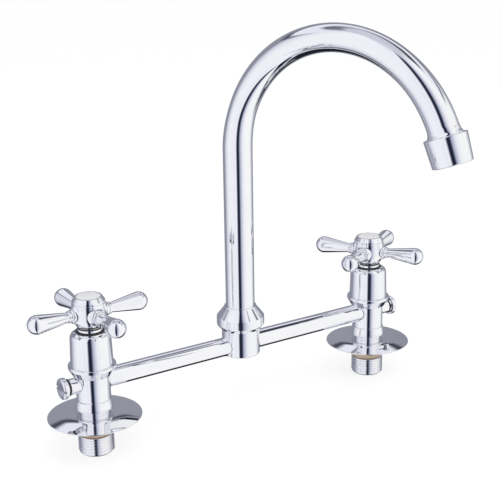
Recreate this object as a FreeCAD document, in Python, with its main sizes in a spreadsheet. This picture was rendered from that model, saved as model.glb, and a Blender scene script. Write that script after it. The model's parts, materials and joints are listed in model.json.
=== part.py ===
import FreeCAD, Part
import math
import os
import re

import Sketcher
from FreeCAD import Rotation, Vector

# Bridge kitchen faucet, millimetres, +Z up. The origin is on the counter top, midway between
# the two inlet shanks. +X points to the cold side (the right), -Y to whoever uses the tap.
# The pose is the photographed one: spout swung towards the cold side, cold handle part open.

# Driving dimensions. Every radius, length and wall can be changed by itself; overshoot is how
# far a cut runs past the face that it opens.
SIZES = {
    # stance
    "shank_centres": 203.2,
    "bridge_height": 21.3,
    "swivel_angle": 20.2,
    "left_handle_angle": 2.1,
    "right_handle_angle": 29.0,
    # clearances
    "fit": 0.05,
    "running_fit": 0.08,
    "disc_gap": 0.02,
    "overshoot": 1.0,
    # threaded inlet shank
    "shank_radius": 10.4775,
    "shank_drop": 22.0,
    "shank_bore_radius": 6.5,
    "shank_chamfer": 1.0,
    "neck_drop": 9.6,
    "tail_wall": 2.3,
    "tail_height": 5.4,
    "spigot_step": 0.8,
    # escutcheon and its gasket
    "flange_radius": 27.5,
    "flange_height": 2.6,
    "flange_wall": 0.8,
    "flange_crown_radius": 16.2,
    "flange_crown_round": 46.0,
    "flange_rim_height": 0.45,
    "flange_rim_round": 0.3,
    "flange_seat_width": 1.5,
    "gasket_inset": 8.5,
    "gasket_gap": 0.25,
    "sleeve_wall": 2.05,
    "sleeve_gap": 0.3,
    # valve body casting
    "foot_step": 1.0,
    "foot_height": 1.7,
    "foot_round": 0.4,
    "ring_height": 5.7,
    "ring_step": 0.3,
    "ring_depth": 0.6,
    "neck_wall": 2.4,
    "spigot_wall": 1.95,
    "collar_gap": 0.1,
    "collar_step": 1.4,
    "collar_flare": 2.5,
    "collar_height": 6.25,
    "collar_lip": 1.9,
    "collar_round": 0.6,
    "socket_wall": 1.4,
    "socket_height": 9.4,
    "thread_step": 1.6,
    "chamber_radius": 7.6,
    "floor_wall": 3.0,
    "port_rise": 2.0,
    "floor_port_radius": 4.5,
    "socket_step": 1.6,
    # side boss and slotted plug
    "boss_wall": 1.35,
    "boss_stand": 5.3,
    "plug_seal_width": 1.0,
    "plug_seal_step": 0.3,
    "plug_neck_step": 0.2,
    "plug_neck_width": 0.9,
    "plug_head_step": 1.6,
    "plug_head_width": 3.2,
    "plug_head_round": 1.1,
    "plug_stem_radius": 3.3,
    "plug_tip_gap": 1.0,
    "plug_slot_width": 1.5,
    "plug_slot_depth": 1.5,
    # bell cover over the cartridge
    "bell_height": 19.9,
    "bell_gap": 0.75,
    "bell_taper": 0.65,
    "bell_round": 3.7,
    "bell_wall": 1.0,
    # ceramic cartridge
    "seal_height": 1.8,
    "seal_gap": 0.6,
    "seal_width": 2.4,
    "barrel_gap": 0.1,
    "barrel_wall": 0.72,
    "disc_hole_radius": 1.9,
    "disc_rim": 1.2,
    "fixed_disc_height": 1.9,
    "moving_disc_height": 2.6,
    "disc_slot_width": 4.2,
    "disc_slot_depth": 1.0,
    "window_width": 7.0,
    "window_height": 2.3,
    "driver_height": 2.6,
    "driver_plate": 1.3,
    "driver_gap": 0.2,
    "tang_inset": 0.5,
    "spindle_radius": 4.5,
    "hex_inset": 0.2,
    "hex_height": 4.3,
    "hex_flange_step": 0.3,
    "hex_flange_height": 1.0,
    "hex_corner_gap": 0.4,
    "gland_wall": 2.02,
    "ring_section": 0.5,
    "ring_squeeze": 0.05,
    "body_ring_height": 14.0,
    "spindle_ring_height": 18.0,
    "clip_height": 0.8,
    "clip_inset": 0.4,
    "clip_room": 0.12,
    "clip_depth": 0.8,
    "clip_angle": 300.0,
    "square_side": 6.2,
    "square_spare": 0.6,
    # cross handle
    "skirt_lap": 1.5,
    "skirt_gap": 0.4,
    "skirt_height": 3.7,
    "skirt_wall": 0.8,
    "skirt_recess": 2.6,
    "waist_radius": 6.3,
    "waist_height": 0.9,
    "hub_height": 19.0,
    "hub_foot_radius": 7.2,
    "hub_belly_radius": 10.3,
    "hub_belly_rise": 4.4,
    "hub_belly_round": 7.0,
    "hub_taper": 0.7,
    "hub_crown_round": 0.6,
    "lobe_radius": 4.3,
    "lobe_stand": 1.4,
    "lobe_round": 1.2,
    "arm_drop": 6.5,
    "arm_collar_step": 0.65,
    "arm_collar_width": 1.6,
    "arm_collar_round": 0.4,
    "arm_root_radius": 2.9,
    "arm_end_radius": 5.44,
    "ball_radius": 5.5,
    "ball_centre": 32.07,
    "stud_radius": 2.0,
    "stud_length": 4.0,
    "screw_web": 3.0,
    "screw_radius": 1.9,
    "screw_length": 10.0,
    "screw_spare": 1.0,
    "screw_head_radius": 3.6,
    "screw_head_height": 2.2,
    "screw_head_room": 1.2,
    "screw_slot_width": 1.0,
    "screw_slot_depth": 1.0,
    # index cap and disc
    "cap_inset": 0.1,
    "cap_rim": 0.85,
    "cap_edge_height": 1.0,
    "cap_height": 3.4,
    "cap_round": 0.5,
    "cap_spigot_radius": 6.2,
    "cap_spigot_wall": 1.1,
    "cap_spigot_drop": 1.1,
    "index_radius": 7.0,
    "index_depth": 0.8,
    # bridge tubes and tee
    "tube_radius": 4.95,
    "tube_spigot_wall": 1.0,
    "tube_spigot_step": 0.95,
    "tube_spigot_length": 1.4,
    "tube_tip_length": 0.7,
    "body_pocket_wall": 1.0,
    "tee_step": 1.15,
    "tee_foot_wall": 0.8,
    "tee_height": 16.5,
    "tee_round": 0.7,
    "tee_pocket_wall": 1.5,
    "tee_bore_floor": 3.1,
    "tee_nipple_wall": 1.6,
    "tee_nipple_height": 7.8,
    # spout nut
    "nut_height": 14.9,
    "nut_foot_step": 0.35,
    "nut_belly_step": 2.65,
    "nut_belly_rise": 2.8,
    "nut_belly_height": 5.2,
    "nut_belly_round": 1.8,
    "nut_cone_round": 0.8,
    "nut_lip": 0.92,
    "nut_top_land": 0.7,
    # spout
    "spout_radius": 8.9,
    "spout_wall": 0.95,
    "spout_sink": 1.5,
    "bend_height": 144.4,
    "bend_radius": 69.4,
    "bend_angle": 161.0,
    "tail_foot_rise": 0.4,
    "tail_gap": 0.1,
    "tail_spigot_wall": 1.5,
    "tail_spigot_length": 8.0,
    "tail_ring_rise": 5.0,
    "tail_ring_pitch": 5.6,
    "retainer_rise": 0.15,
    "retainer_height": 1.2,
    "retainer_stand": 1.4,
    "retainer_room": 1.25,
    "retainer_depth": 0.8,
    "retainer_angle": 325.0,
    "flare_length": 4.6,
    "flare_step": 0.9,
    "flare_waist_length": 1.9,
    "flare_waist_step": 0.2,
    "outlet_thread_step": 0.4,
    "outlet_thread_length": 5.2,
    # aerator
    "aerator_wall": 2.5,
    "aerator_taper": 0.85,
    "aerator_length": 15.6,
    "aerator_round": 0.6,
    "aerator_lip": 1.0,
    "aerator_lip_width": 0.7,
    "washer_height": 1.5,
    "washer_width": 2.7,
    "insert_gap": 0.2,
    "insert_recess": 0.6,
    "insert_cup_step": 1.0,
    "insert_cup_depth": 4.4,
    "jet_radius": 0.75,
    "jet_margin": 1.45,
}

# Radii, heights and reaches that follow from the sizes above, as the pieces fit each other.
LEVELS = {
    "tail_radius": "shank_bore_radius + tail_wall",
    "spigot_radius": "tail_radius - spigot_step",
    "sleeve_radius": "tail_radius + fit + sleeve_wall",
    "sleeve_drop": "neck_drop - sleeve_gap",
    "flange_seat_radius": "flange_radius - flange_seat_width",
    "flange_hollow_height": "flange_height - flange_wall",
    "hollow_slope": "flange_hollow_height / (flange_seat_radius - flange_crown_radius)",
    "gasket_radius": "flange_radius - gasket_inset",
    "gasket_height": "hollow_slope * (flange_seat_radius - gasket_radius) - gasket_gap",
    "seat_level": "bridge_height - tube_spigot_radius - fit - port_rise",
    "body_floor": "seat_level - floor_wall",
    "spigot_top": "body_floor - fit",
    "neck_radius": "max(chamber_radius + neck_wall; spigot_radius + fit + spigot_wall)",
    "foot_radius": "neck_radius + foot_step",
    "ring_radius": "neck_radius + ring_step",
    "collar_foot_radius": "neck_radius + collar_step",
    "collar_radius": "collar_foot_radius + collar_flare",
    "thread_radius": "chamber_radius + thread_step",
    "socket_radius": "thread_radius + socket_wall",
    "collar_foot": "bridge_height + tube_radius + collar_gap",
    "collar_top": "collar_foot + collar_height",
    "socket_top": "collar_top + socket_height",
    "boss_radius": "plug_stem_radius + fit + boss_wall",
    "boss_reach": "neck_radius + boss_stand",
    "seal_reach": "boss_reach + plug_seal_width",
    "plug_shoulder": "seal_reach + plug_neck_width",
    "plug_end": "plug_shoulder + plug_head_width",
    "plug_seal_radius": "boss_radius + plug_seal_step",
    "plug_neck_radius": "boss_radius - plug_neck_step",
    "plug_head_radius": "boss_radius + plug_head_step",
    "bell_foot_radius": "socket_radius + bell_gap + bell_wall",
    "bell_shoulder_radius": "bell_foot_radius - bell_taper",
    "bell_mouth_radius": "skirt_radius + skirt_gap",
    "bell_top": "collar_top + bell_height",
    "seal_radius": "chamber_radius - seal_gap",
    "seal_hole_radius": "seal_radius - seal_width",
    "barrel_radius": "chamber_radius - barrel_gap",
    "disc_radius": "barrel_radius - barrel_wall - running_fit",
    "disc_hole_offset": "disc_radius - disc_rim - disc_hole_radius",
    "driver_radius": "disc_radius - driver_gap",
    "tang_reach": "driver_radius - tang_inset",
    "seal_top": "seat_level + seal_height",
    "fixed_top": "seal_top + fixed_disc_height",
    "moving_foot": "fixed_top + disc_gap",
    "moving_top": "moving_foot + moving_disc_height",
    "driver_top": "moving_top + driver_height",
    "chamber_top": "driver_top + running_fit",
    "hex_flats": "2 * (thread_radius - hex_inset)",
    "hex_core_radius": "hex_flats / 2 - hex_corner_gap",
    "hex_flange_radius": "socket_radius - hex_flange_step",
    "hex_top": "socket_top + hex_height",
    "gland_radius": "spindle_radius + running_fit + gland_wall",
    "clip_radius": "gland_radius - clip_inset",
    "clip_top": "hub_foot - clip_room",
    "clip_foot": "clip_top - clip_height",
    "gland_top": "clip_foot - running_fit",
    "body_ring_level": "seat_level + body_ring_height",
    "spindle_ring_level": "seat_level + spindle_ring_height",
    "skirt_radius": "gland_radius + skirt_wall",
    "hub_foot": "bell_top - skirt_lap",
    "recess_top": "hub_foot + skirt_recess",
    "waist_foot": "hub_foot + skirt_height",
    "belly_foot": "waist_foot + waist_height",
    "hub_top": "hub_foot + hub_height",
    "hub_crown_radius": "hub_belly_radius - hub_taper",
    "web_top": "hub_top - screw_head_room - screw_head_height",
    "web_foot": "web_top - screw_web",
    "square_top": "web_foot - square_spare",
    "arm_height": "hub_top - arm_drop",
    "lobe_reach": "hub_belly_radius + lobe_stand",
    "collar_reach": "lobe_reach + arm_collar_width",
    "ball_root": "ball_centre - sqrt(ball_radius^2 - arm_end_radius^2)",
    "ball_tip": "ball_centre + ball_radius",
    "stud_foot": "lobe_reach - stud_length",
    "cap_radius": "hub_crown_radius - cap_inset",
    "cap_top_radius": "index_radius + fit + cap_rim",
    "cap_top": "hub_top + cap_height",
    "tube_spigot_radius": "tube_radius - tube_spigot_step",
    "tube_bore_radius": "tube_spigot_radius - tube_spigot_wall",
    "body_pocket": "chamber_radius + body_pocket_wall",
    "bridge_start": "shank_centres / 2 - body_pocket - fit",
    "bridge_end": "tee_pocket + fit",
    "tee_bore_radius": "spout_radius + tail_gap",
    "tee_pocket": "tee_bore_radius + tee_pocket_wall",
    "tee_nipple_radius": "tee_bore_radius + tee_nipple_wall",
    "tee_radius": "tee_nipple_radius + tee_step",
    "tee_foot": "bridge_height - tube_radius - fit - tee_foot_wall",
    "tee_top": "tee_foot + tee_height",
    "nipple_top": "tee_top + tee_nipple_height",
    "tee_floor": "bridge_height + tee_bore_floor",
    "nut_foot_radius": "tee_radius + nut_foot_step",
    "nut_belly_radius": "nut_foot_radius + nut_belly_step",
    "nut_top_radius": "spout_radius + running_fit + nut_lip",
    "nut_top": "tee_top + nut_height",
    "belly_low": "tee_top + nut_belly_rise",
    "belly_high": "belly_low + nut_belly_height",
    "retainer_radius": "spout_radius + retainer_stand",
    "retainer_foot": "nipple_top + retainer_rise",
    "retainer_top": "retainer_foot + retainer_height",
    "nut_shoulder": "retainer_top + retainer_room",
    "spout_foot": "nut_top - spout_sink",
    "spout_bore_radius": "spout_radius - spout_wall",
    "tail_foot": "tee_floor + tail_foot_rise",
    "tail_bore_radius": "spout_bore_radius - fit - tail_spigot_wall",
    "outlet_y": "bend_radius * (cos(bend_angle) - 1)",
    "outlet_z": "bend_height + bend_radius * sin(bend_angle)",
    "flare_angle": "bend_angle - flare_length / bend_radius * 180 / pi",
    "waist_angle": "bend_angle - flare_waist_length / bend_radius * 180 / pi",
    "flare_radius": "spout_radius + flare_step",
    "flare_waist_radius": "spout_radius + flare_waist_step",
    "outlet_thread_radius": "spout_radius + outlet_thread_step",
    "aerator_radius": "outlet_thread_radius + fit + aerator_wall",
    "aerator_foot_radius": "aerator_radius - aerator_taper",
    "aerator_mouth_radius": "outlet_thread_radius - aerator_lip_width",
    "washer_hole_radius": "outlet_thread_radius - washer_width",
    "washer_foot": "outlet_thread_length + fit",
    "insert_foot": "washer_foot + washer_height",
    "insert_end": "aerator_length - insert_recess",
    "insert_foot_radius": "aerator_mouth_radius - insert_gap",
    "insert_cup_radius": "insert_foot_radius - insert_cup_step",
    "jet_pitch": "(insert_cup_radius - jet_radius - jet_margin) / 2",
}

SIDES = {"left": -1, "right": 1}
ARM_NAMES = ("a", "b", "c", "d")
TURN = 360.0

document = FreeCAD.newDocument("BridgeFaucet")


def write_sheet():
    """The driving dimensions, one named cell each."""
    sheet = document.addObject("Spreadsheet::Sheet", "Sizes")
    for row, (name, number) in enumerate(SIZES.items(), start=1):
        sheet.set(f"A{row}", name)
        sheet.set(f"B{row}", str(number))
        sheet.setAlias(f"B{row}", name)
    document.recompute()
    return sheet


SHEET = write_sheet()


def bind(text):
    """An expression in plain size names, with each name turned into its sheet cell."""
    def cell(match):
        word = match.group(0)
        if word in LEVELS:
            return "(" + bind(LEVELS[word]) + ")"
        if word in SIZES:
            return "Sizes." + word
        return word
    return re.sub(r"[a-z_]+", cell, str(text))


def number(text):
    """What an expression comes to, for the first position of a sketch point."""
    return float(SHEET.evalExpression(bind(text)))


# ---------------------------------------------------------------------------- sketch helpers

def add_sketch(body, role, name, offset=None, axis=Vector(0, 0, 1)):
    """A sketch on one of the body's own origin planes, moved by offset and turned about axis."""
    sketch = body.newObject("Sketcher::SketchObject", name)
    plane = [item for item in body.Origin.OriginFeatures if item.Role == role][0]
    sketch.AttachmentSupport = [(plane, "")]
    sketch.MapMode = "FlatFace"
    offset = offset or {}
    if "Rotation.Angle" in offset:
        sketch.AttachmentOffset = FreeCAD.Placement(Vector(0, 0, 0), Rotation(axis, 1))
    for path, text in offset.items():
        sketch.setExpression(f".AttachmentOffset.{path}", bind(text))
    return sketch


def limit(sketch, kind, *where, size):
    """A dimension that follows the sheet."""
    index = sketch.addConstraint(Sketcher.Constraint(kind, *where, number(size)))
    sketch.setExpression(f"Constraints[{index}]", bind(size))


def pin_point(sketch, geometry, end, x, y):
    """Hold one end of a piece of geometry at x, y from the sketch's origin."""
    limit(sketch, "DistanceX", -1, 1, geometry, end, size=x)
    limit(sketch, "DistanceY", -1, 1, geometry, end, size=y)


def heading(vector):
    return math.atan2(vector.y, vector.x)


def arc_between(sketch, centre, radius, first, last):
    """A circular arc; says which of its ends (1 or 2) lies at first and which at last."""
    circle = Part.Circle(centre, Vector(0, 0, 1), radius)
    turn = (first - centre).cross(last - centre).z
    begin, finish = (first, last) if turn > 0 else (last, first)
    begin_angle = heading(begin - centre)
    finish_angle = heading(finish - centre)
    if finish_angle < begin_angle:
        finish_angle += 2 * math.pi
    index = sketch.addGeometry(Part.ArcOfCircle(circle, begin_angle, finish_angle))
    return (index, 1, 2) if turn > 0 else (index, 2, 1)


def draw_outline(sketch, corners):
    """A closed outline. A corner is (x, y), (x, y, rounding radius), or (x, y, None, radius)
    where the side that follows it is an arc of that radius, bulging right, or left if negative."""
    count = len(corners)
    points = [Vector(number(corner[0]), number(corner[1]), 0) for corner in corners]
    before, after = list(points), list(points)
    rounds = {}
    for i, corner in enumerate(corners):
        if len(corner) != 3:
            continue
        radius = number(corner[2])
        back = (points[i - 1] - points[i]).normalize()
        ahead = (points[(i + 1) % count] - points[i]).normalize()
        half = back.getAngle(ahead) / 2
        before[i] = points[i] + back * (radius / math.tan(half))
        after[i] = points[i] + ahead * (radius / math.tan(half))
        rounds[i] = (points[i] + (back + ahead).normalize() * (radius / math.sin(half)), radius)
    sides = []
    for i, corner in enumerate(corners):
        first, last = after[i], before[(i + 1) % count]
        if len(corner) == 4:
            radius = number(corner[3])
            middle = (first + last) / 2
            chord = last - first
            left = Vector(-chord.y, chord.x, 0).normalize()
            rise = math.sqrt(max(radius ** 2 - (chord.Length / 2) ** 2, 0))
            centre = middle + left * math.copysign(rise, radius)
            side = arc_between(sketch, centre, abs(radius), first, last)
            limit(sketch, "Radius", side[0], size=f"abs({corner[3]})")
        else:
            side = (sketch.addGeometry(Part.LineSegment(first, last)), 1, 2)
        sides.append(side)
    for i, corner in enumerate(corners):
        arriving, _, arriving_end = sides[i - 1]
        leaving, leaving_start, _ = sides[i]
        if i not in rounds:
            sketch.addConstraint(
                Sketcher.Constraint("Coincident", arriving, arriving_end, leaving, leaving_start))
            pin_point(sketch, leaving, leaving_start, corner[0], corner[1])
            continue
        centre, radius = rounds[i]
        arc, arc_start, arc_end = arc_between(sketch, centre, radius, before[i], after[i])
        apex = sketch.addGeometry(Part.Point(points[i]), True)
        for constraint in (("Tangent", arriving, arriving_end, arc, arc_start),
                           ("Tangent", arc, arc_end, leaving, leaving_start),
                           ("PointOnObject", apex, 1, arriving),
                           ("PointOnObject", apex, 1, leaving)):
            sketch.addConstraint(Sketcher.Constraint(*constraint))
        limit(sketch, "Radius", arc, size=corner[2])
        pin_point(sketch, apex, 1, corner[0], corner[1])


def draw_circle(sketch, x, y, radius):
    circle = Part.Circle(Vector(number(x), number(y), 0), Vector(0, 0, 1), number(radius))
    index = sketch.addGeometry(circle)
    pin_point(sketch, index, 3, x, y)
    limit(sketch, "Radius", index, size=radius)


def draw_rectangle(sketch, x_low, x_high, y_low, y_high):
    draw_outline(sketch, [(x_low, y_low), (x_high, y_low), (x_high, y_high), (x_low, y_high)])


# --------------------------------------------------------------------------- feature helpers

def new_body(label):
    body = document.addObject("PartDesign::Body", label)
    body.Label = label
    return body


def revolve(body, kind, name, corners, axis="V_Axis", role="XZ_Plane", offset=None, angle=None):
    """Turn an outline about an axis of its sketch: material (Revolution) or a cut (Groove)."""
    sketch = add_sketch(body, role, f"{name}_outline", offset)
    draw_outline(sketch, corners)
    feature = body.newObject(f"PartDesign::{kind}", name)
    feature.Profile = sketch
    feature.ReferenceAxis = (sketch, [axis])
    feature.Angle = TURN
    if angle:
        feature.setExpression("Angle", bind(angle))
    sketch.Visibility = False
    return feature


def extrude(body, kind, name, sketch, length, reverse=False, midplane=False):
    """A Pad or a Pocket of a sketch; a Pocket runs against its plane's normal."""
    feature = body.newObject(f"PartDesign::{kind}", name)
    feature.Profile = sketch
    feature.setExpression("Length", bind(length))
    feature.Reversed = reverse
    feature.Midplane = midplane
    return feature


def around(body, features, name, count, axis=None):
    """Repeat features evenly round the body's Z axis, or another one."""
    pattern = body.newObject("PartDesign::PolarPattern", name)
    pattern.Originals = features
    z_axis = [item for item in body.Origin.OriginFeatures if item.Role == "Z_Axis"][0]
    pattern.Axis = axis or (z_axis, [""])
    pattern.Angle = TURN
    pattern.Occurrences = count
    body.Tip = pattern
    return pattern


def place(item, x="0", y="0", z="0", turn="0"):
    """Put a piece at x, y, z, turned about the vertical."""
    item.Placement = FreeCAD.Placement(Vector(0, 0, 0), Rotation(Vector(0, 0, 1), 1))
    for path, text in (("Base.x", x), ("Base.y", y), ("Base.z", z)):
        item.setExpression(f".Placement.{path}", bind(text))
    item.setExpression(".Placement.Rotation.Angle", bind(turn))


def pillar_x(side):
    return f"{SIDES[side]} * shank_centres / 2"


def at_pillar(item, side, turn="0"):
    place(item, x=pillar_x(side), turn=turn)


def facing_out(side):
    """Pillars are drawn with the plug towards +X and the bridge towards -X."""
    return "180" if side == "left" else "0"


def plain_turned(label, corners, **options):
    body = new_body(label)
    revolve(body, "Revolution", f"{label}_turning", corners, **options)
    return body


def rubber_ring(label, major, level, **options):
    """An O-ring about the vertical axis, at a level."""
    ring = document.addObject("Part::Torus", label)
    ring.Label = label
    ring.setExpression("Radius1", bind(major))
    ring.setExpression("Radius2", bind("ring_section"))
    place(ring, z=level, **options)


# ------------------------------------------------------------------------------ the pillars

def inlet_shank(side):
    """Brass nipple: threaded part below the counter, plain tail, spigot in the casting."""
    shank = plain_turned(f"{side}_inlet_shank", [
        ("shank_bore_radius", "-shank_drop"),
        ("shank_radius - shank_chamfer", "-shank_drop"),
        ("shank_radius", "shank_chamfer - shank_drop"),
        ("shank_radius", "-neck_drop - shank_chamfer"),
        ("tail_radius", "-neck_drop"),
        ("tail_radius", "tail_height"),
        ("spigot_radius", "tail_height"),
        ("spigot_radius", "spigot_top"),
        ("shank_bore_radius", "spigot_top"),
    ])
    at_pillar(shank, side)


def escutcheon(side):
    """Pressed disc, flat round the shank and domed down to a thin rim, hollow underneath."""
    hole = "tail_radius + fit"
    disc = plain_turned(f"{side}_escutcheon", [
        (hole, "flange_height"),
        (hole, "flange_hollow_height"),
        ("flange_crown_radius", "flange_hollow_height"),
        ("flange_seat_radius", "0"),
        ("flange_radius", "0"),
        ("flange_radius", "flange_rim_height", "flange_rim_round"),
        ("flange_crown_radius", "flange_height", "flange_crown_round"),
    ])
    at_pillar(disc, side)


def deck_gasket(side):
    """Fibre washer under the escutcheon with a sleeve that centres the shank in its hole."""
    hole = "tail_radius + fit"
    gasket = plain_turned(f"{side}_deck_gasket", [
        (hole, "-sleeve_drop"),
        ("sleeve_radius", "-sleeve_drop"),
        ("sleeve_radius", "0"),
        ("gasket_radius", "0"),
        ("gasket_radius", "gasket_height"),
        (hole, "gasket_height"),
    ])
    at_pillar(gasket, side)


def valve_body(side):
    """The casting: foot ring, neck, flared collar, cartridge socket, plug boss, bridge port."""
    body = new_body(f"{side}_valve_body")
    ring_level = "tail_height + ring_height"
    collar_face = "collar_top - collar_lip"
    revolve(body, "Revolution", f"{side}_casting", [
        ("0", "tail_height"),
        ("foot_radius", "tail_height", "foot_round"),
        ("foot_radius", "tail_height + foot_height", "foot_round"),
        ("ring_radius", ring_level),
        ("neck_radius - ring_depth", ring_level),
        ("neck_radius", f"{ring_level} + ring_depth"),
        ("neck_radius", "collar_foot"),
        ("collar_foot_radius", "collar_foot"),
        ("collar_radius", collar_face, "collar_round"),
        ("collar_radius", "collar_top", "collar_round"),
        ("socket_radius", "collar_top"),
        ("socket_radius", "socket_top"),
        ("0", "socket_top"),
    ])
    boss = add_sketch(body, "YZ_Plane", f"{side}_boss_outline")
    draw_circle(boss, "0", "bridge_height", "boss_radius")
    extrude(body, "Pad", f"{side}_boss", boss, "boss_reach")
    thread = "thread_radius + fit"
    step = "collar_top + socket_step"
    revolve(body, "Groove", f"{side}_bores", [
        ("0", "tail_height - overshoot"),
        ("spigot_radius + fit", "tail_height - overshoot"),
        ("spigot_radius + fit", "body_floor"),
        ("floor_port_radius", "body_floor"),
        ("floor_port_radius", "seat_level"),
        ("chamber_radius", "seat_level"),
        ("chamber_radius", step),
        (thread, step),
        (thread, "socket_top + overshoot"),
        ("0", "socket_top + overshoot"),
    ])
    drill(body, f"{side}_bridge_port", "tube_spigot_radius + fit", "0", "neck_radius + overshoot")
    drill(body, f"{side}_tube_pocket", "tube_radius + fit", "body_pocket", "neck_radius + overshoot")
    drill(body, f"{side}_plug_hole", "plug_stem_radius + fit", "0", "boss_reach + overshoot", outward=True)
    at_pillar(body, side, facing_out(side))


def drill(body, name, radius, start, end, outward=False):
    """A level hole at bridge height, from start to end along X, away from the bridge if outward."""
    sign = 1 if outward else -1
    hole = add_sketch(body, "YZ_Plane", f"{name}_outline", {"Base.z": f"{sign} * ({start})"})
    draw_circle(hole, "0", "bridge_height", radius)
    extrude(body, "Pocket", name, hole, f"{end} - ({start})", reverse=outward)


def side_plug(side):
    """Slotted screw plug of the through-drilled cross hole, drawn along its own X axis."""
    body = new_body(f"{side}_side_plug")
    revolve(body, "Revolution", f"{side}_plug_turning", [
        ("chamber_radius + plug_tip_gap", "0"),
        ("plug_end", "0"),
        ("plug_end", "plug_head_radius", "plug_head_round"),
        ("plug_shoulder", "plug_head_radius"),
        ("plug_shoulder", "plug_neck_radius"),
        ("seal_reach", "plug_neck_radius"),
        ("seal_reach", "plug_stem_radius"),
        ("chamber_radius + plug_tip_gap", "plug_stem_radius"),
    ], axis="H_Axis")
    slot = add_sketch(body, "YZ_Plane", f"{side}_slot_outline", {"Base.z": "plug_end"})
    wide = "plug_head_radius + overshoot"
    half = "plug_slot_width / 2"
    draw_rectangle(slot, f"-({wide})", wide, f"-{half}", half)
    extrude(body, "Pocket", f"{side}_slot", slot, "plug_slot_depth")
    place(body, x=pillar_x(side), z="bridge_height", turn=facing_out(side))


def plug_seal(side):
    seal = plain_turned(f"{side}_plug_seal", [
        ("boss_reach", "plug_stem_radius + fit"),
        ("seal_reach", "plug_stem_radius + fit"),
        ("seal_reach", "plug_seal_radius"),
        ("boss_reach", "plug_seal_radius"),
    ], axis="H_Axis")
    place(seal, x=pillar_x(side), z="bridge_height", turn=facing_out(side))


def bell_cover(side):
    """Thin cover that stands on the casting's collar and hides the cartridge nut."""
    outer_round = "min(bell_round; bell_shoulder_radius - bell_mouth_radius - fit)"
    inner_round = f"{outer_round} - bell_wall"
    cover = plain_turned(f"{side}_bell_cover", [
        ("bell_foot_radius - bell_wall", "collar_top"),
        ("bell_foot_radius", "collar_top"),
        ("bell_shoulder_radius", "bell_top", outer_round),
        ("bell_mouth_radius", "bell_top"),
        ("bell_mouth_radius", "bell_top - bell_wall"),
        ("bell_shoulder_radius - bell_wall", "bell_top - bell_wall", inner_round),
    ])
    at_pillar(cover, side)


# --------------------------------------------------------------------- the ceramic cartridge

def seat_seal(side):
    seal = plain_turned(f"{side}_seat_seal", [
        ("seal_hole_radius", "seat_level"),
        ("seal_radius", "seat_level"),
        ("seal_radius", "seal_top"),
        ("seal_hole_radius", "seal_top"),
    ])
    at_pillar(seal, side)


def disc_with_ports(label, low, high, port_angle):
    """A ceramic disc with two round ports opposite each other."""
    body = new_body(label)
    blank = add_sketch(body, "XY_Plane", f"{label}_outline", {"Base.z": low})
    draw_circle(blank, "0", "0", "disc_radius")
    extrude(body, "Pad", f"{label}_blank", blank, f"{high} - ({low})")
    port = add_sketch(body, "XY_Plane", f"{label}_port_outline", {"Base.z": high})
    x = f"disc_hole_offset * cos({port_angle})"
    y = f"disc_hole_offset * sin({port_angle})"
    draw_circle(port, x, y, "disc_hole_radius")
    hole = extrude(body, "Pocket", f"{label}_port", port, f"{high} - ({low})")
    around(body, [hole], f"{label}_ports", 2)
    return body


def fixed_disc(side):
    disc = disc_with_ports(f"{side}_fixed_disc", "seal_top", "fixed_top", "0")
    at_pillar(disc, side)


def moving_disc(side, turn):
    """The turning disc; a slot across its top takes the spindle's tang."""
    disc = disc_with_ports(f"{side}_moving_disc", "moving_foot", "moving_top", "90")
    slot = add_sketch(disc, "XY_Plane", f"{side}_disc_slot_outline", {"Base.z": "moving_top"})
    half = "disc_slot_width / 2"
    draw_rectangle(slot, "-disc_radius - overshoot", "disc_radius + overshoot", f"-{half}", half)
    extrude(disc, "Pocket", f"{side}_disc_slot", slot, "disc_slot_depth")
    at_pillar(disc, side, turn)


def cartridge_body(side):
    """Brass barrel round the discs with side windows, threaded flange, hexagon and gland."""
    body = new_body(f"{side}_cartridge_body")
    chamber = "disc_radius + running_fit"
    foot = "seal_top + fit"
    bore = "spindle_radius + running_fit"
    groove_root = "chamber_radius - 2 * ring_section - 2 * ring_squeeze - fit"
    groove_low = "body_ring_level - ring_section - ring_squeeze"
    groove_high = "body_ring_level + ring_section + ring_squeeze"
    thread_foot = "collar_top + socket_step + fit"
    hex_foot = "socket_top + hex_flange_height"
    revolve(body, "Revolution", f"{side}_barrel", [
        (bore, "chamber_top"),
        (chamber, "chamber_top"),
        (chamber, foot),
        ("barrel_radius", foot),
        ("barrel_radius", groove_low),
        (groove_root, groove_low),
        (groove_root, groove_high),
        ("barrel_radius", groove_high),
        ("barrel_radius", thread_foot),
        ("thread_radius", thread_foot),
        ("thread_radius", "socket_top"),
        ("hex_flange_radius", "socket_top"),
        ("hex_flange_radius", hex_foot),
        ("hex_core_radius", hex_foot),
        ("hex_core_radius", "hex_top"),
        ("gland_radius", "hex_top"),
        ("gland_radius", "gland_top"),
        (bore, "gland_top"),
    ])
    nut = add_sketch(body, "XY_Plane", f"{side}_hexagon_outline", {"Base.z": hex_foot})
    draw_hexagon(nut, "hex_flats")
    draw_circle(nut, "0", "0", "gland_radius")
    extrude(body, "Pad", f"{side}_hexagon", nut, "hex_height - hex_flange_height")
    window = add_sketch(body, "XZ_Plane", f"{side}_window_outline")
    half = "window_width / 2"
    draw_rectangle(window, f"-{half}", half, "chamber_top - window_height", "chamber_top")
    extrude(body, "Pocket", f"{side}_windows", window, "2 * (barrel_radius + overshoot)", midplane=True)
    at_pillar(body, side, "90")


def draw_hexagon(sketch, flats):
    """A hexagon about the origin, by its width across flats."""
    corners = []
    for step in range(6):
        angle = 60 * step
        corners.append((f"{flats} / sqrt(3) * cos({angle})", f"{flats} / sqrt(3) * sin({angle})"))
    draw_outline(sketch, corners)


def body_ring(side):
    """O-ring between the cartridge barrel and the casting."""
    rubber_ring(f"{side}_body_oring", "chamber_radius - ring_section - ring_squeeze",
                "body_ring_level", x=pillar_x(side))


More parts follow.
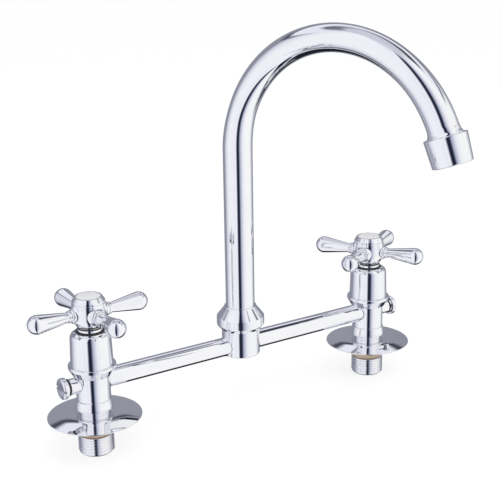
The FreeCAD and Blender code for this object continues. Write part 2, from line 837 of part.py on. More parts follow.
def spindle(side, turn):
    """Spindle: tang and thrust plate below, O-ring and clip grooves, square for the handle."""
    body = new_body(f"{side}_spindle")
    ring_low = "spindle_ring_level - ring_section - ring_squeeze"
    ring_high = "spindle_ring_level + ring_section + ring_squeeze"
    ring_root = "spindle_radius + running_fit - 2 * ring_section - 2 * ring_squeeze - fit"
    clip_root = "spindle_radius - clip_depth"
    tap = "screw_radius + fit"
    tap_floor = "web_top - screw_length - screw_spare"
    revolve(body, "Revolution", f"{side}_stem", [
        ("0", "driver_top - driver_plate"),
        ("driver_radius", "driver_top - driver_plate"),
        ("driver_radius", "driver_top"),
        ("spindle_radius", "driver_top"),
        ("spindle_radius", ring_low),
        (ring_root, ring_low),
        (ring_root, ring_high),
        ("spindle_radius", ring_high),
        ("spindle_radius", "clip_foot - fit"),
        (clip_root, "clip_foot - fit"),
        (clip_root, "clip_top + fit"),
        ("spindle_radius", "clip_top + fit"),
        ("spindle_radius", "recess_top"),
        ("0", "recess_top"),
    ])
    square = add_sketch(body, "XY_Plane", f"{side}_square_outline", {"Base.z": "recess_top"})
    draw_square(square, "square_side")
    extrude(body, "Pad", f"{side}_square", square, "square_top - recess_top")
    tang = add_sketch(body, "XY_Plane", f"{side}_tang_outline",
                      {"Base.z": "moving_top - disc_slot_depth + running_fit"})
    half_width = "disc_slot_width / 2 - fit"
    draw_rectangle(tang, "-(tang_reach)", "tang_reach", f"-({half_width})", half_width)
    extrude(body, "Pad", f"{side}_tang", tang, "disc_slot_depth + driver_height - driver_plate")
    revolve(body, "Groove", f"{side}_tapping", [
        ("0", tap_floor),
        (tap, tap_floor),
        (tap, "square_top + overshoot"),
        ("0", "square_top + overshoot"),
    ])
    at_pillar(body, side, turn)


def draw_square(sketch, side_length):
    half = f"({side_length}) / 2"
    draw_rectangle(sketch, f"-{half}", half, f"-{half}", half)


def spindle_ring(side):
    rubber_ring(f"{side}_spindle_oring",
                "spindle_radius + running_fit - ring_section - ring_squeeze",
                "spindle_ring_level", x=pillar_x(side))


def spindle_clip(side, turn):
    """Open snap ring that keeps the spindle from dropping through the gland."""
    root = "spindle_radius - clip_depth + fit"
    clip = plain_turned(f"{side}_spindle_clip", [
        (root, "clip_foot"),
        ("clip_radius", "clip_foot"),
        ("clip_radius", "clip_top"),
        (root, "clip_top"),
    ], angle="clip_angle")
    at_pillar(clip, side, turn)


# ----------------------------------------------------------------------------- the handles

def handle_hub(side, turn):
    """Cup-shaped hub with a skirt into the bell, four arm lobes, a square socket and a web."""
    body = new_body(f"{side}_handle_hub")
    revolve(body, "Revolution", f"{side}_cup", [
        ("0", "hub_foot"),
        ("skirt_radius", "hub_foot"),
        ("skirt_radius", "waist_foot"),
        ("waist_radius", "waist_foot"),
        ("waist_radius", "belly_foot"),
        ("hub_foot_radius", "belly_foot"),
        ("hub_belly_radius", "belly_foot + hub_belly_rise", "hub_belly_round"),
        ("hub_crown_radius", "hub_top", "hub_crown_round"),
        ("0", "hub_top"),
    ])
    lobe = revolve(body, "Revolution", f"{side}_lobe", [
        ("waist_radius", "0"),
        ("lobe_reach", "0"),
        ("lobe_reach", "lobe_radius", "lobe_round"),
        ("waist_radius", "lobe_radius"),
    ], axis="H_Axis", offset={"Base.y": "arm_height"})
    around(body, [lobe], f"{side}_lobes", len(ARM_NAMES))
    recess = "skirt_radius - skirt_wall"
    counterbore = "cap_spigot_radius + fit"
    revolve(body, "Groove", f"{side}_skirt_recess", [
        ("0", "hub_foot - overshoot"),
        (recess, "hub_foot - overshoot"),
        (recess, "recess_top"),
        ("0", "recess_top"),
    ])
    revolve(body, "Groove", f"{side}_counterbore", [
        ("0", "web_foot - overshoot"),
        ("screw_radius + 2 * fit", "web_foot - overshoot"),
        ("screw_radius + 2 * fit", "web_top"),
        (counterbore, "web_top"),
        (counterbore, "hub_top + overshoot"),
        ("0", "hub_top + overshoot"),
    ])
    square = add_sketch(body, "XY_Plane", f"{side}_socket_outline", {"Base.z": "web_foot"})
    draw_square(square, "square_side + 2 * fit")
    extrude(body, "Pocket", f"{side}_square_socket", square, "web_foot - recess_top")
    bore = revolve(body, "Groove", f"{side}_stud_bore", [
        ("stud_foot - fit", "0"),
        ("lobe_reach + overshoot", "0"),
        ("lobe_reach + overshoot", "stud_radius + fit"),
        ("stud_foot - fit", "stud_radius + fit"),
    ], axis="H_Axis", offset={"Base.y": "arm_height"})
    around(body, [bore], f"{side}_stud_bores", len(ARM_NAMES))
    at_pillar(body, side, turn)


def handle_arm(side, turn, step):
    """One lever that widens from a root collar into its round end, with a stud in the hub."""
    collar = "arm_root_radius + arm_collar_step"
    arm = plain_turned(f"{side}_handle_arm_{ARM_NAMES[step]}", [
        ("stud_foot", "0"),
        ("ball_tip", "0", None, "ball_radius"),
        ("ball_root", "arm_end_radius"),
        ("collar_reach", "arm_root_radius"),
        ("collar_reach", collar, "arm_collar_round"),
        ("lobe_reach", collar, "arm_collar_round"),
        ("lobe_reach", "stud_radius"),
        ("stud_foot", "stud_radius"),
    ], axis="H_Axis")
    quarter = TURN / len(ARM_NAMES)
    place(arm, x=pillar_x(side), z="arm_height", turn=f"{turn} + {quarter * step}")


def handle_screw(side, turn):
    """Slotted cheese-head screw that holds the hub down on the spindle."""
    body = new_body(f"{side}_handle_screw")
    head_top = "web_top + screw_head_height"
    revolve(body, "Revolution", f"{side}_screw_turning", [
        ("0", "web_top - screw_length"),
        ("screw_radius", "web_top - screw_length"),
        ("screw_radius", "web_top"),
        ("screw_head_radius", "web_top"),
        ("screw_head_radius", head_top),
        ("0", head_top),
    ])
    slot = add_sketch(body, "XY_Plane", f"{side}_screw_slot_outline", {"Base.z": head_top})
    half = "screw_slot_width / 2"
    draw_rectangle(slot, "-screw_head_radius - overshoot", "screw_head_radius + overshoot", f"-{half}", half)
    extrude(body, "Pocket", f"{side}_screw_slot", slot, "screw_slot_depth")
    at_pillar(body, side, turn)


def index_cap(side, turn):
    """Domed ring pressed into the hub, with a shallow recess for the index disc."""
    recess = "index_radius + fit"
    floor = "cap_top - index_depth"
    spigot_inner = "cap_spigot_radius - cap_spigot_wall"
    cap = plain_turned(f"{side}_index_cap", [
        ("0", "hub_top"),
        (spigot_inner, "hub_top"),
        (spigot_inner, "hub_top - cap_spigot_drop"),
        ("cap_spigot_radius", "hub_top - cap_spigot_drop"),
        ("cap_spigot_radius", "hub_top"),
        ("cap_radius", "hub_top"),
        ("cap_radius", "hub_top + cap_edge_height", "cap_round"),
        ("cap_top_radius", "cap_top", "cap_round / 2"),
        (recess, "cap_top"),
        (recess, floor),
        ("0", floor),
    ])
    at_pillar(cap, side, turn)


def index_disc(side, turn):
    disc = plain_turned(f"{side}_index_disc", [
        ("0", "cap_top - index_depth"),
        ("index_radius", "cap_top - index_depth"),
        ("index_radius", "cap_top"),
        ("0", "cap_top"),
    ])
    at_pillar(disc, side, turn)


# ------------------------------------------------------------------------------ the bridge

def bridge_tube(side):
    """Tube from a pillar's pocket to the tee's pocket, with a turned-down spigot at each end."""
    outline = [
        ("bridge_end - tube_spigot_length", "tube_bore_radius"),
        ("bridge_start + tube_tip_length", "tube_bore_radius"),
        ("bridge_start + tube_tip_length", "tube_spigot_radius"),
        ("bridge_start", "tube_spigot_radius"),
        ("bridge_start", "tube_radius"),
        ("bridge_end", "tube_radius"),
        ("bridge_end", "tube_spigot_radius"),
        ("bridge_end - tube_spigot_length", "tube_spigot_radius"),
    ]
    tube = plain_turned(f"{side}_bridge_tube", outline, axis="H_Axis")
    place(tube, z="bridge_height", turn=facing_out(side))


def bridge_tee():
    """Centre body: cross bore for the bridge tubes, stepped bore and nipple for the spout."""
    body = new_body("bridge_tee")
    revolve(body, "Revolution", "tee_turning", [
        ("0", "tee_foot"),
        ("tee_radius", "tee_foot", "tee_round"),
        ("tee_radius", "tee_top"),
        ("tee_nipple_radius", "tee_top"),
        ("tee_nipple_radius", "nipple_top"),
        ("0", "nipple_top"),
    ])
    revolve(body, "Groove", "tee_bore", [
        ("0", "bridge_height"),
        ("tail_bore_radius", "bridge_height"),
        ("tail_bore_radius", "tee_floor"),
        ("tee_bore_radius", "tee_floor"),
        ("tee_bore_radius", "nipple_top + overshoot"),
        ("0", "nipple_top + overshoot"),
    ])
    cross = add_sketch(body, "YZ_Plane", "cross_bore_outline")
    draw_circle(cross, "0", "bridge_height", "tube_spigot_radius + fit")
    extrude(body, "Pocket", "cross_bore", cross, "2 * (tee_radius + overshoot)", midplane=True)
    for side, sign in SIDES.items():
        pocket = add_sketch(body, "YZ_Plane", f"{side}_tee_pocket_outline",
                            {"Base.z": f"{sign} * tee_pocket"})
        draw_circle(pocket, "0", "bridge_height", "tube_radius + fit")
        extrude(body, "Pocket", f"{side}_tee_pocket", pocket, "tee_radius", reverse=sign > 0)
    place(body)


def spout_nut():
    """Domed nut over the nipple: rounded foot, straight belly, long cone up to the tube."""
    shoulder = "spout_radius + running_fit"
    nut = plain_turned("spout_nut", [
        ("tee_nipple_radius + fit", "tee_top"),
        ("nut_foot_radius", "tee_top"),
        ("nut_belly_radius", "belly_low", "nut_belly_round"),
        ("nut_belly_radius", "belly_high", "nut_cone_round"),
        ("nut_top_radius", "nut_top - nut_top_land"),
        ("nut_top_radius", "nut_top"),
        (shoulder, "nut_top"),
        (shoulder, "nut_shoulder"),
        ("tee_nipple_radius + fit", "nut_shoulder"),
    ])
    place(nut)


# ------------------------------------------------------------------------------- the spout

SWING = "swivel_angle"
JET_RINGS = (1, 6, 12)
TILT_AXIS = Vector(1, 0, 0)
AT_OUTLET = {"Base.x": "outlet_y", "Base.y": "outlet_z", "Rotation.Angle": "bend_angle"}


def spout_path(body, name, end_angle, tail=None):
    """Straight riser and one large bend, then a straight tail if one is asked for."""
    path = add_sketch(body, "YZ_Plane", name)
    radius = number("bend_radius")
    bend = math.radians(number(end_angle))
    centre = Vector(-radius, number("bend_height"), 0)
    foot = Vector(0, number("spout_foot"), 0)
    spring = Vector(0, centre.y, 0)
    end = centre + Vector(math.cos(bend), math.sin(bend), 0) * radius
    riser = path.addGeometry(Part.LineSegment(foot, spring))
    arc = path.addGeometry(Part.ArcOfCircle(Part.Circle(centre, Vector(0, 0, 1), radius), 0, bend))
    path.addConstraint(Sketcher.Constraint("Tangent", riser, 2, arc, 1))
    path.addConstraint(Sketcher.Constraint("Vertical", riser))
    pin_point(path, riser, 1, "0", "spout_foot")
    limit(path, "DistanceY", -1, 1, riser, 2, size="bend_height")
    limit(path, "Radius", arc, size="bend_radius")
    limit(path, "DistanceY", -1, 1, arc, 2, size=f"bend_height + bend_radius * sin({end_angle})")
    if tail:
        drop = Vector(-math.sin(bend), math.cos(bend), 0) * number(tail)
        outlet = path.addGeometry(Part.LineSegment(end, end + drop))
        path.addConstraint(Sketcher.Constraint("Tangent", arc, 2, outlet, 1))
        limit(path, "Distance", outlet, size=tail)
    return path


def across_path(angle, beyond="0"):
    """Offset of a plane that cuts the bend squarely at an angle, or further along its tangent."""
    return {"Base.y": f"bend_height + bend_radius * sin({angle}) + {beyond} * cos({angle})",
            "Base.z": f"{beyond} * sin({angle}) - bend_radius * (cos({angle}) - 1)",
            "Rotation.Angle": f"{angle} - 90"}


def sweep(body, kind, name, path, radius):
    section = add_sketch(body, "XY_Plane", f"{name}_section", {"Base.z": "spout_foot"})
    draw_circle(section, "0", "0", radius)
    feature = body.newObject(f"PartDesign::{kind}", name)
    feature.Profile = section
    feature.Spine = path
    return feature


def spout_tube():
    """Gooseneck tube with a flared end and the male thread for the aerator."""
    body = new_body("spout_tube")
    outer_path = spout_path(body, "outer_route", "flare_angle")
    sweep(body, "AdditivePipe", "spout_outside", outer_path, "spout_radius")
    rings = []
    for name, angle, radius in (("start", "flare_angle", "spout_radius"),
                                ("waist", "waist_angle", "flare_waist_radius"),
                                ("end", "bend_angle", "flare_radius")):
        ring = add_sketch(body, "XZ_Plane", f"flare_{name}", across_path(angle), TILT_AXIS)
        draw_circle(ring, "0", "0", radius)
        rings.append(ring)
    flare = body.newObject("PartDesign::AdditiveLoft", "outlet_flare")
    flare.Profile = rings[0]
    flare.Sections = rings[1:]
    revolve(body, "Revolution", "outlet_thread", [
        ("0", "0"),
        ("outlet_thread_radius", "0"),
        ("outlet_thread_radius", "outlet_thread_length"),
        ("0", "outlet_thread_length"),
    ], role="YZ_Plane", offset=AT_OUTLET)
    inner_path = spout_path(body, "inner_route", "bend_angle", "outlet_thread_length")
    sweep(body, "SubtractivePipe", "spout_inside", inner_path, "spout_bore_radius")
    place(body, turn=SWING)


def spout_tail():
    """Machined tail brazed into the tube: two O-ring grooves and the retainer's groove."""
    outer = "spout_radius"
    root = "tee_bore_radius - 2 * ring_section - 2 * ring_squeeze - fit"
    corners = [("tail_bore_radius", "tail_foot"), (outer, "tail_foot")]
    for step in range(2):
        level = f"tail_foot + tail_ring_rise + {step} * tail_ring_pitch"
        low = f"{level} - ring_section - ring_squeeze"
        high = f"{level} + ring_section + ring_squeeze"
        corners += [(outer, low), (root, low), (root, high), (outer, high)]
    neck = "spout_radius - retainer_depth"
    spigot = "spout_bore_radius - fit"
    corners += [
        (outer, "retainer_foot - fit"),
        (neck, "retainer_foot - fit"),
        (neck, "retainer_top + fit"),
        (outer, "retainer_top + fit"),
        (outer, "spout_foot"),
        (spigot, "spout_foot"),
        (spigot, "spout_foot + tail_spigot_length"),
        ("tail_bore_radius", "spout_foot + tail_spigot_length"),
    ]
    place(plain_turned("spout_tail", corners), turn=SWING)


def tail_ring(name, step):
    rubber_ring(name, "tee_bore_radius - ring_section - ring_squeeze",
                f"tail_foot + tail_ring_rise + {step} * tail_ring_pitch", turn=SWING)


def spout_retainer():
    """Split ring in the tail's groove, trapped under the nut's shoulder."""
    root = "spout_radius - retainer_depth + fit"
    ring = plain_turned("spout_retainer", [
        (root, "retainer_foot"),
        ("retainer_radius", "retainer_foot"),
        ("retainer_radius", "retainer_top"),
        (root, "retainer_top"),
    ], angle="retainer_angle")
    place(ring, turn=SWING)


def aerator_housing():
    """Slightly tapered sleeve screwed on the outlet, with a lip that holds the insert."""
    socket = "outlet_thread_radius + fit"
    lip_foot = "aerator_length - aerator_lip"
    housing = plain_turned("aerator_housing", [
        (socket, "0"),
        ("aerator_radius", "0", "aerator_round"),
        ("aerator_foot_radius", "aerator_length", "aerator_round"),
        ("aerator_mouth_radius", "aerator_length"),
        ("aerator_mouth_radius", lip_foot),
        (socket, lip_foot),
    ], role="YZ_Plane", offset=AT_OUTLET)
    place(housing, turn=SWING)


def aerator_washer():
    washer = plain_turned("aerator_washer", [
        ("washer_hole_radius", "washer_foot"),
        ("outlet_thread_radius", "washer_foot"),
        ("outlet_thread_radius", "insert_foot"),
        ("washer_hole_radius", "insert_foot"),
    ], role="YZ_Plane", offset=AT_OUTLET)
    place(washer, turn=SWING)


def aerator_insert():
    """Moulded cup with a rim on the housing's lip and a field of jet holes in its floor."""
    body = new_body("aerator_insert")
    cup_floor = "insert_foot + insert_cup_depth"
    lip_foot = "aerator_length - aerator_lip"
    revolve(body, "Revolution", "insert_turning", [
        ("0", cup_floor),
        ("insert_cup_radius", cup_floor),
        ("insert_cup_radius", "insert_foot"),
        ("outlet_thread_radius", "insert_foot"),
        ("outlet_thread_radius", lip_foot),
        ("insert_foot_radius", lip_foot),
        ("insert_foot_radius", "insert_end"),
        ("0", "insert_end"),
    ], role="YZ_Plane", offset=AT_OUTLET)
    face = across_path("bend_angle", "insert_end")
    for ring, count in enumerate(JET_RINGS):
        outline = add_sketch(body, "XZ_Plane", f"jet_outline_{ring}", face, TILT_AXIS)
        draw_circle(outline, f"{ring} * jet_pitch", "0", "jet_radius")
        jet = extrude(body, "Pocket", f"jet_{ring}", outline, f"insert_end - {cup_floor} + overshoot")
        if count > 1:
            around(body, [jet], f"jet_ring_{ring}", count, (outline, ["N_Axis"]))
    place(body, turn=SWING)


# ------------------------------------------------------------------------------- the object

def build_side(side):
    turn = f"{side}_handle_angle"
    for piece in (inlet_shank, escutcheon, deck_gasket, valve_body, side_plug, plug_seal,
                  bell_cover, seat_seal, fixed_disc, cartridge_body, body_ring, spindle_ring):
        piece(side)
    for piece in (moving_disc, spindle, spindle_clip, handle_hub, handle_screw,
                  index_cap, index_disc):
        piece(side, turn)
    for step in range(len(ARM_NAMES)):
        handle_arm(side, turn, step)
    bridge_tube(side)


def build_centre():
    for piece in (bridge_tee, spout_nut, spout_tube, spout_tail, spout_retainer,
                  aerator_housing, aerator_washer, aerator_insert):
        piece()
    tail_ring("spout_oring_lower", 0)
    tail_ring("spout_oring_upper", 1)


def write_parts():
    """Check every object, then write one file for each sub-part."""
    document.recompute()
    for item in document.Objects:
        if "Invalid" in item.State or "Error" in item.State:
            raise RuntimeError(f"{item.Label} failed: {item.State}")
    pieces = [item for item in document.Objects
              if item.TypeId in ("PartDesign::Body", "Part::Torus")]
    for piece in pieces:
        if piece.Shape.isNull() or not piece.Shape.isValid() or len(piece.Shape.Solids) != 1:
            raise RuntimeError(f"{piece.Label} is not one valid solid")
    os.makedirs("parts", exist_ok=True)
    for piece in pieces:
        piece.Shape.exportStep(os.path.join("parts", f"{piece.Label}.step"))
    print(len(pieces), "sub-parts written")


for side_name in SIDES:
    build_side(side_name)
build_centre()
write_parts()
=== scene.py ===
import json
import math

import bpy
import numpy as np
from mathutils import Matrix


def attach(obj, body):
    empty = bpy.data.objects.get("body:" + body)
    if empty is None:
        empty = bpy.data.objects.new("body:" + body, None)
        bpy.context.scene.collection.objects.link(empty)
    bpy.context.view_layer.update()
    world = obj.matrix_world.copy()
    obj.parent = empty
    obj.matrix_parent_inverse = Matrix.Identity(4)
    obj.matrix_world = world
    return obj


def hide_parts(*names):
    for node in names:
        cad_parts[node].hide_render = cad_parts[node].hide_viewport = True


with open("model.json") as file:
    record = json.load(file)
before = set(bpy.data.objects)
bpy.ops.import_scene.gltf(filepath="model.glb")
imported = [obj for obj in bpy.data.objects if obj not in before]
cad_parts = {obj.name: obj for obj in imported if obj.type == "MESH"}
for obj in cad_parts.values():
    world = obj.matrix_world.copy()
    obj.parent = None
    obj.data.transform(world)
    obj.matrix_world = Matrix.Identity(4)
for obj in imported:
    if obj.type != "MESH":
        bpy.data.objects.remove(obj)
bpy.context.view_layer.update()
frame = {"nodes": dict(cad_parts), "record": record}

# Lengths below are in millimetres, z up, with the counter top at z = 0.
MM = 0.001
EDGE_ROUND = 0.15
PILLAR_X = 101.6
BRIDGE_Z = 21.3
TUBE_Z = 21.6
TUBE_OUTSIDE = 5.75
BOSS_OUTSIDE = TUBE_OUTSIDE + 0.01
PORT_Z = 63.5
SPOUT_TURN = math.radians(20.2)
BEND_ANGLE = math.radians(161.0)
BEND_RADIUS = 69.4
RISER_TOP = 144.4
SPOUT_RADIUS = 8.9
FLARE_LENGTH = 4.6
# Bent tube loses depth in its bend and gains a little width.
FLATTENED, WIDENED = 0.105, 0.015
# Angle of each handle's first arm.
CRESTS = {"left": math.radians(2.1), "right": math.radians(29.0)}
SIDES = {"left": -1.0, "right": 1.0}
# The tent's dark seam and its other features are set from this direction round the object.
TENT_TURN = math.radians(122.6)
FLOOR_SIZE, FLOOR_Z = 3.0, -0.0222


# ---------------------------------------------------------------- mesh tools

def profile(corners, closed=True):
    """Rounded outline of a turned piece: points (radius, height) and their outward normals."""
    corners = [(c[0], c[1], c[2] if len(c) > 2 else EDGE_ROUND) for c in corners]
    points = [np.array(c[:2], float) for c in corners]
    count = len(points)
    edges = [points[(i + 1) % count] - points[i] for i in range(count)]
    lengths = [float(np.linalg.norm(e)) for e in edges]
    turns, reach = [], []
    for i in range(count):
        a, b = edges[i - 1], edges[i]
        turn = math.atan2(a[0] * b[1] - a[1] * b[0], float(a @ b))
        inner = closed or 0 < i < count - 1
        turns.append(turn)
        reach.append(abs(corners[i][2] * math.tan(turn / 2)) if inner else 0.0)
    for i in range(count if closed else count - 1):
        j = (i + 1) % count
        if reach[i] + reach[j] > 0.9995 * lengths[i]:
            share = 0.9995 * lengths[i] / (reach[i] + reach[j])
            reach[i] *= share
            reach[j] *= share
    out, normals = [], []
    for i in range(count):
        back = edges[i] / lengths[i] if not closed and i == 0 else edges[i - 1] / lengths[i - 1]
        normal = np.array([back[1], -back[0]])
        if reach[i] < 1e-5:
            out.append(points[i])
            normals.append(normal)
            continue
        turn = turns[i]
        sign = math.copysign(1.0, turn)
        radius = reach[i] / math.tan(abs(turn) / 2)
        centre = points[i] - back * reach[i] - sign * radius * normal
        steps = max(2, math.ceil(abs(turn) / math.radians(9)))
        for k in range(steps + 1):
            a = turn * k / steps
            n = np.array([normal[0] * math.cos(a) - normal[1] * math.sin(a),
                          normal[0] * math.sin(a) + normal[1] * math.cos(a)])
            out.append(centre + sign * radius * n)
            normals.append(n)
    return np.array(out), np.array(normals)


class Shell:
    """Vertices, normals and faces gathered before they become one object."""

    def __init__(self):
        self.points, self.normals, self.faces, self.count = [], [], [], 0

    def grid(self, points, normals, wrap_rows=False, wrap_columns=True, place=None):
        rows, columns = points.shape[:2]
        normals = normals / np.linalg.norm(normals, axis=-1, keepdims=True)
        low = np.arange(rows if wrap_rows else rows - 1)
        side = np.arange(columns if wrap_columns else columns - 1)
        i, j = np.meshgrid(low, side, indexing="ij")
        i2, j2 = (i + 1) % rows, (j + 1) % columns
        quads = np.stack([i * columns + j, i2 * columns + j, i2 * columns + j2, i * columns + j2], -1)
        quads = quads.reshape(-1, 4)
        flat = points.reshape(-1, 3)
        across = np.cross(flat[quads[:, 2]] - flat[quads[:, 0]], flat[quads[:, 3]] - flat[quads[:, 1]])
        if (across * normals.reshape(-1, 3)[quads[:, 0]]).sum() < 0:
            quads = quads[:, ::-1]
        same = np.linalg.norm(flat[quads] - flat[np.roll(quads, -1, 1)], axis=-1) < 1e-7
        for quad, touching in zip(quads.tolist(), same.tolist()):
            face = [v for v, touch in zip(quad, touching) if not touch]
            if len(face) > 2:
                self.faces.append([v + self.count for v in face])
        if place is not None:
            turn, shift = place
            points = points @ turn.T + shift
            normals = normals @ turn.T
        self.points.append(points.reshape(-1, 3))
        self.normals.append(normals.reshape(-1, 3))
        self.count += rows * columns

    def turned(self, corners, closed=True, place=None, steps=160):
        outline, outward = profile(corners, closed)
        angle = np.linspace(0, 2 * math.pi, steps, endpoint=False)
        ring = np.stack([np.cos(angle), np.sin(angle)], -1)
        height = np.ones((len(outline), steps, 1))
        points = np.concatenate([outline[:, None, :1] * ring, outline[:, None, 1:] * height], -1)
        normals = np.concatenate([outward[:, None, :1] * ring, outward[:, None, 1:] * height], -1)
        self.grid(points, normals, wrap_rows=closed, place=place)

    def surface(self, points, place=None):
        """A grid whose normals come from its own slopes; its columns go round."""
        along = np.gradient(points, axis=0)
        round_it = np.roll(points, -1, 1) - np.roll(points, 1, 1)
        normals = np.cross(round_it, along)
        outward = points - points.mean(axis=1, keepdims=True)
        if (normals * outward).sum() < 0:
            normals = -normals
        self.grid(points, normals, place=place)

    def mesh(self, name):
        mesh = bpy.data.meshes.new(name)
        mesh.from_pydata((np.concatenate(self.points) * MM).tolist(), [], self.faces)
        mesh.shade_smooth()
        mesh.normals_split_custom_set_from_vertices(np.concatenate(self.normals).tolist())
        return mesh


def about_z(angle=0.0, x=0.0, y=0.0, z=0.0):
    c, s = math.cos(angle), math.sin(angle)
    return np.array([[c, -s, 0], [s, c, 0], [0, 0, 1.0]]), np.array([x, y, z], float)


def along_x(angle=0.0, x=0.0, y=0.0, z=0.0):
    """Lays a turned piece's axis level, pointing at the angle."""
    turn, shift = about_z(angle, x, y, z)
    return turn @ np.array([[0, 0, 1.0], [1.0, 0, 0], [0, 1.0, 0]]), shift


def bent(angle):
    """Centre, tangent, inward-to-outward normal and side of the spout's line at a bend angle."""
    turn, _ = about_z(SPOUT_TURN)
    centre = np.array([0, BEND_RADIUS * (math.cos(angle) - 1), RISER_TOP + BEND_RADIUS * math.sin(angle)])
    tangent = np.array([0, -math.sin(angle), math.cos(angle)])
    normal = np.array([0, math.cos(angle), math.sin(angle)])
    return turn @ centre, turn @ tangent, turn @ normal, turn @ np.array([1.0, 0, 0])


def smooth(value, low, high):
    t = min(1.0, max(0.0, (value - low) / (high - low)))
    return t * t * (3 - 2 * t)


def finish_piece(name, shell, body, slot, *nodes):
    """Makes an object of the shell that rides on the body and stands for the nodes, if any."""
    piece = bpy.data.objects.new(name, shell.mesh(name))
    bpy.context.scene.collection.objects.link(piece)
    piece.data.materials.append(materials[slot])
    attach(piece, body)
    if nodes:
        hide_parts(*nodes)
    return piece


def round_skin(radius):
    return np.array([[radius, 0.0], [radius, 60.0]]), np.array([[1.0, 0], [1.0, 0]])


def branch(shell, skin, height, radius, reach, root, tip, place, steps=96):
    """A round boss that leaves a turned skin sideways along +X, rolled at its root and tip."""
    around = np.linspace(0, 2 * math.pi, steps, endpoint=False)
    spread = np.stack([np.zeros(steps), np.cos(around), np.sin(around)], -1)
    points, normals = [], []
    for k in range(9):
        u = math.pi / 2 * k / 8
        rho = radius + root * (1 - math.sin(u))
        y, z = rho * np.cos(around), height + rho * np.sin(around)
        r = np.interp(z, skin[0][:, 1], skin[0][:, 0])
        nr = np.interp(z, skin[0][:, 1], skin[1][:, 0])
        nz = np.interp(z, skin[0][:, 1], skin[1][:, 1])
        x = np.sqrt(r * r - y * y)
        points.append(np.stack([x + root * (1 - math.cos(u)), y, z], -1))
        on_skin = np.stack([nr * x / r, nr * y / r, nz], -1)
        normals.append(on_skin * math.cos(u) + spread * math.sin(u))
    for k in range(9):
        u = math.pi / 2 * k / 8
        rho = radius - tip * (1 - math.cos(u))
        x = np.full(steps, reach - tip + tip * math.sin(u))
        points.append(np.stack([x, rho * np.cos(around), height + rho * np.sin(around)], -1))
        normals.append(spread * math.cos(u) + np.array([1.0, 0, 0]) * math.sin(u))
    points.append(np.tile([reach, 0, height], (steps, 1)))
    normals.append(np.tile([1.0, 0, 0], (steps, 1)))
    shell.grid(np.array(points), np.array(normals), place=place)


# ---------------------------------------------------------------- materials

class Nodes:
    """Short calls for a node tree."""

    def __init__(self, tree):
        self.tree = tree
        tree.nodes.clear()

    def add(self, kind, inputs=None, **settings):
        node = self.tree.nodes.new(kind)
        for key, value in settings.items():
            setattr(node, key, value)
        for key, value in (inputs or {}).items():
            if isinstance(value, bpy.types.NodeSocket):
                self.tree.links.new(value, node.inputs[key])
            else:
                node.inputs[key].default_value = value
        return node

    def math(self, operation, *values):
        node = self.add("ShaderNodeMath", dict(enumerate(values)), operation=operation)
        return node.outputs[0]

    def ramp(self, factor, stops):
        node = self.add("ShaderNodeValToRGB", {0: factor})
        ramp = node.color_ramp
        while len(ramp.elements) > 1:
            ramp.elements.remove(ramp.elements[-1])
        for k, (place, colour) in enumerate(stops):
            colour = (colour,) * 3 if isinstance(colour, (int, float)) else tuple(colour)
            element = ramp.elements[0] if k == 0 else ramp.elements.new(place)
            element.position = place
            element.color = (*colour[:3], 1.0)
        return node.outputs[0]

    def mix(self, factor, a, b):
        node = self.add("ShaderNodeMix", data_type="RGBA")
        for key, value in ((0, factor), (6, a), (7, b)):
            if isinstance(value, bpy.types.NodeSocket):
                self.tree.links.new(value, node.inputs[key])
            else:
                node.inputs[key].default_value = value if key == 0 else (*value, 1.0)
        return node.outputs[2]

    def noise(self, scale, detail=3.0, roughness=0.5, stretch=None):
        where = self.add("ShaderNodeTexCoord").outputs["Object"]
        if stretch:
            where = self.add("ShaderNodeMapping", {"Vector": where, "Scale": stretch}).outputs[0]
        node = self.add("ShaderNodeTexNoise", {"Vector": where, "Scale": scale, "Detail": detail,
                                               "Roughness": roughness})
        return node.outputs[0]


def material(name, build):
    made = bpy.data.materials.new(name)
    made.use_nodes = True
    nodes = Nodes(made.node_tree)
    shader = nodes.add("ShaderNodeBsdfPrincipled")
    build(nodes, shader)
    out = nodes.add("ShaderNodeOutputMaterial")
    made.node_tree.links.new(shader.outputs[0], out.inputs[0])
    return made


def wire(nodes, shader, colour=None, roughness=None, bumps=()):
    """Joins colour, roughness and a chain of bumps (height, strength, distance) to the shader."""
    links = nodes.tree.links
    if colour is not None:
        links.new(colour, shader.inputs["Base Color"])
    if roughness is not None:
        links.new(roughness, shader.inputs["Roughness"])
    last = None
    for height, strength, distance in bumps:
        bump = nodes.add("ShaderNodeBump", {"Height": height, "Strength": strength, "Distance": distance})
        if last is not None:
            links.new(last, bump.inputs["Normal"])
        last = bump.outputs[0]
    if last is not None:
        links.new(last, shader.inputs["Normal"])


def chrome(nodes, shader):
    """Bright nickel-chrome plate: cool, near mirror, with buffing haze and a slight orange peel."""
    shader.inputs["Metallic"].default_value = 1.0
    cloud = nodes.noise(38.0, 4.0, 0.6)
    haze = nodes.noise(900.0, 4.0, 0.65)
    peel = nodes.noise(160.0, 2.0, 0.45)
    colour = nodes.ramp(cloud, [(0.3, (0.885, 0.89, 0.915)), (0.7, (0.93, 0.933, 0.95))])
    rough = nodes.ramp(haze, [(0.25, 0.028), (0.6, 0.05), (0.85, 0.085)])
    wire(nodes, shader, colour, rough, [(peel, 0.05, 0.00012), (haze, 0.04, 0.00001)])


def machined_brass(nodes, shader):
    shader.inputs["Metallic"].default_value = 1.0
    tone = nodes.noise(60.0, 4.0, 0.6)
    cut = nodes.noise(500.0, 3.0, 0.6, (0.15, 0.15, 6.0))
    colour = nodes.ramp(tone, [(0.3, (0.62, 0.43, 0.19)), (0.7, (0.80, 0.60, 0.31))])
    rough = nodes.ramp(cut, [(0.3, 0.16), (0.75, 0.34)])
    wire(nodes, shader, colour, rough, [(cut, 0.25, 0.00003)])


